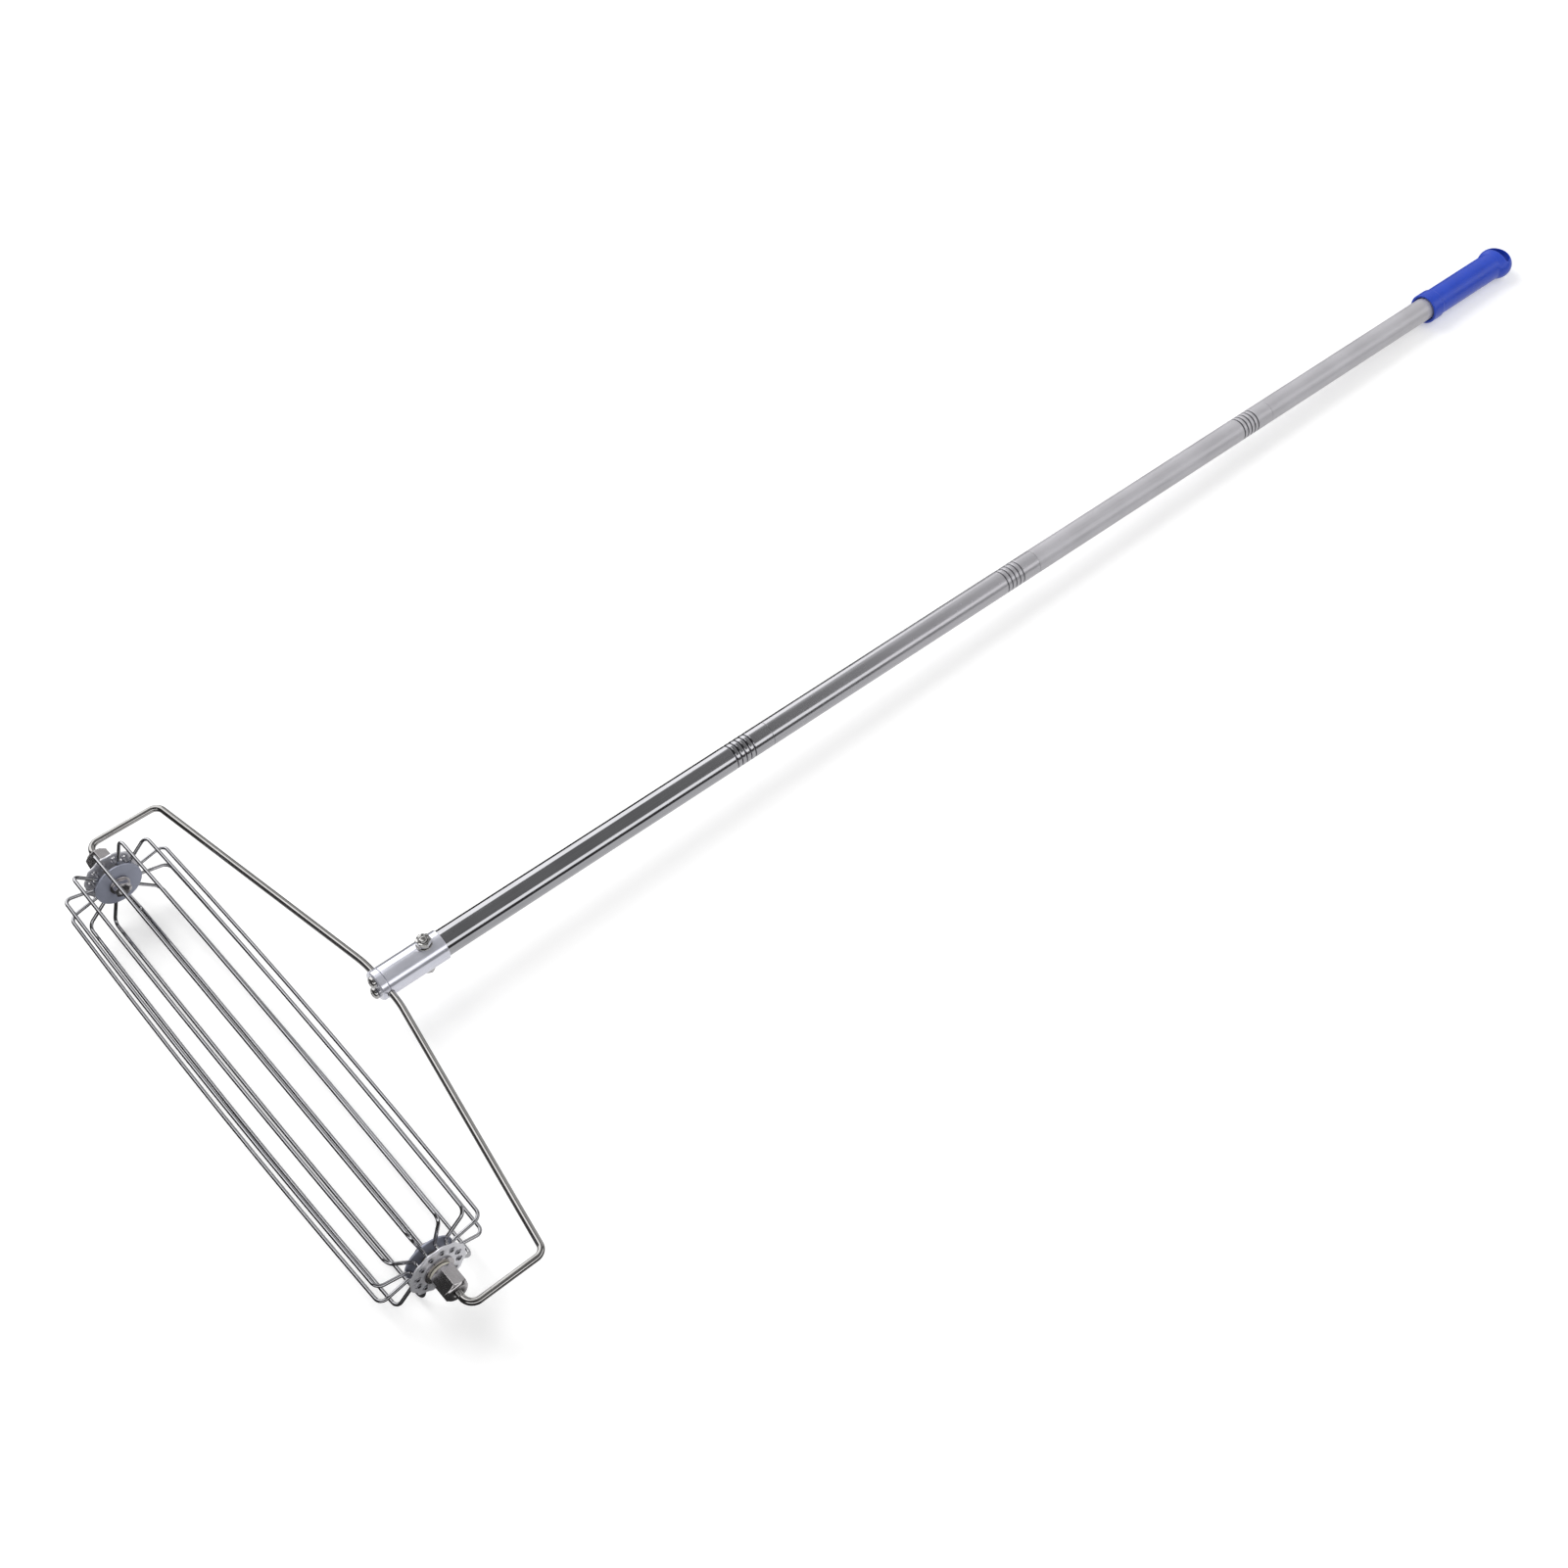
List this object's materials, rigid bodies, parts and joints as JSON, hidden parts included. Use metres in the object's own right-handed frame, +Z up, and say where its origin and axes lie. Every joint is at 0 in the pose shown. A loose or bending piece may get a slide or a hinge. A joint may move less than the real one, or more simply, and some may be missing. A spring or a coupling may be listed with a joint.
{
  "type": "rolling wire cage gatherer",
  "caption": "Drum of bowed spring wires on slotted hubs, turning in a bent-rod yoke that a clamp holds on a long screwed tube pole with a plastic grip and hanging hole.",
  "frame": {"origin": "under the middle of the bounding box, on the floor that the drum and the grip's knob rest on", "axes": "+X along the drum's axle, +Y from the drum towards the grip, +Z up"},
  "size_m": [0.5156, 1.5032, 0.0947],
  "materials": {
    "drum_wire": "bright drawn stainless wire",
    "hub_plate": "pressed plated plate",
    "inner_plate": "smooth blue-grey plate",
    "bush": "plain turned bush",
    "coupling_steel": "satin machined steel",
    "spacer": "pale moulded ring",
    "yoke_steel": "bright bent rod",
    "clamp_alloy": "satin turned alloy",
    "fastener": "bright plated",
    "lower_tube": "polished stainless tube",
    "upper_tube": "satin stainless tube",
    "plug": "machined threaded plug",
    "grip": "moulded blue plastic with a soft gloss"
  },
  "bodies": {
    "handle": {"axle_bolt_left": "coupling_steel", "axle_bolt_right": "coupling_steel", "bolt_head_washer_left": "coupling_steel", "bolt_head_washer_right": "coupling_steel", "thrust_washer_left": "coupling_steel", "thrust_washer_right": "coupling_steel", "spacer_ring_left": "spacer", "spacer_ring_right": "spacer", "hex_coupling_left": "coupling_steel", "hex_coupling_right": "coupling_steel", "yoke_rod": "yoke_steel", "clamp_sleeve": "clamp_alloy", "clamp_cap": "clamp_alloy", "cap_screw_upper": "fastener", "cap_screw_lower": "fastener", "cross_bolt": "fastener", "cross_bolt_nut": "fastener", "cross_bolt_washer_top": "fastener", "cross_bolt_washer_bottom": "fastener", "pole_section_1": "lower_tube", "pole_section_2": "lower_tube", "pole_section_3": "upper_tube", "pole_section_4": "upper_tube", "thread_socket_1": "plug", "thread_socket_2": "plug", "thread_socket_3": "plug", "thread_stud_1": "plug", "thread_stud_2": "plug", "thread_stud_3": "plug", "grip": "grip"},
    "drum": {"cage_wire_01": "drum_wire", "cage_wire_02": "drum_wire", "cage_wire_03": "drum_wire", "cage_wire_04": "drum_wire", "cage_wire_05": "drum_wire", "cage_wire_06": "drum_wire", "cage_wire_07": "drum_wire", "cage_wire_08": "drum_wire", "cage_wire_09": "drum_wire", "cage_wire_10": "drum_wire", "cage_wire_11": "drum_wire", "cage_wire_12": "drum_wire", "hub_plate_outer_left": "hub_plate", "hub_plate_outer_right": "hub_plate", "hub_plate_inner_left": "inner_plate", "hub_plate_inner_right": "inner_plate", "hub_bush_left": "bush", "hub_bush_right": "bush"}
  },
  "joints": [
    {"name": "drum_spin", "type": "hinge", "parent": "handle", "child": "drum", "pos_m": [0, -0.70426, 0.04737], "axis": [1, 0, 0], "continuous": true}
  ]
}
